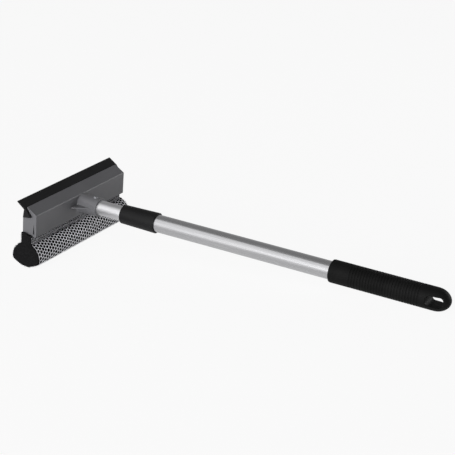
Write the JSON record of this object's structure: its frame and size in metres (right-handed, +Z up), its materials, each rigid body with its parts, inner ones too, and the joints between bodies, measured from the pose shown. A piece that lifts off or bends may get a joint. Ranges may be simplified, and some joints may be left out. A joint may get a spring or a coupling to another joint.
{
  "type": "window scrubber",
  "caption": "Telescopic window scrubber: rubber squeegee blade over a netted sponge on one grey head, with a twist-lock pole and a ribbed grip with a hanging slot.",
  "frame": {"origin": "on the table, under the middle of the tool's box as it lies on its sponge and its grip", "axes": "+Z up from the table, +Y from the head to the grip, X along the blade"},
  "size_m": [0.207, 0.5276, 0.0837],
  "materials": {
    "grey_polypropylene": "moulded, satin",
    "blade_rubber": "extruded, matt",
    "open_cell_foam": "cut foam, matt",
    "nylon_net": "knitted monofilament",
    "anodised_aluminium": "drawn and satin anodised",
    "black_polypropylene": "moulded, satin",
    "soft_grip_plastic": "moulded, matt",
    "white_nylon": "moulded, semi-matt",
    "zinc_plated_steel": "bright zinc"
  },
  "bodies": {
    "handle": {"outer_tube": "anodised_aluminium", "collar": "black_polypropylene", "guide_bush": "white_nylon", "grip": "soft_grip_plastic", "tube_plug": "black_polypropylene"},
    "slider": {"guide_ring": "white_nylon"},
    "head": {"head_body": "grey_polypropylene", "squeegee_blade": "blade_rubber", "sponge_foam": "open_cell_foam", "sponge_net": "nylon_net", "sponge_strip": "black_polypropylene", "strip_screws": "zinc_plated_steel", "socket_screw": "zinc_plated_steel", "inner_tube": "anodised_aluminium", "cam_plug": "white_nylon", "plug_pin": "zinc_plated_steel", "journal_washer": "zinc_plated_steel", "journal_screw": "zinc_plated_steel"},
    "lock": {"lock_ring": "white_nylon"}
  },
  "joints": [
    {"name": "pole_slide", "type": "slide", "parent": "handle", "child": "slider", "axis": [0, -0.9963, 0.0856], "range_m": [-0.0335, 0.2719]},
    {"name": "pole_twist", "type": "hinge", "parent": "slider", "child": "head", "pos_m": [0, 0.11564, 0.02506], "axis": [0, 0.9963, -0.0856], "range_deg": [-90, 90]},
    {"name": "lock_ring_turn", "type": "hinge", "parent": "head", "child": "lock", "pos_m": [0, 0.12414, 0.02466], "axis": [0, 0.9963, -0.0856], "range_deg": [-90, 90]}
  ],
  "couplings": [
    {"joint": "lock_ring_turn", "follows": "pole_twist", "ratio": -1}
  ]
}
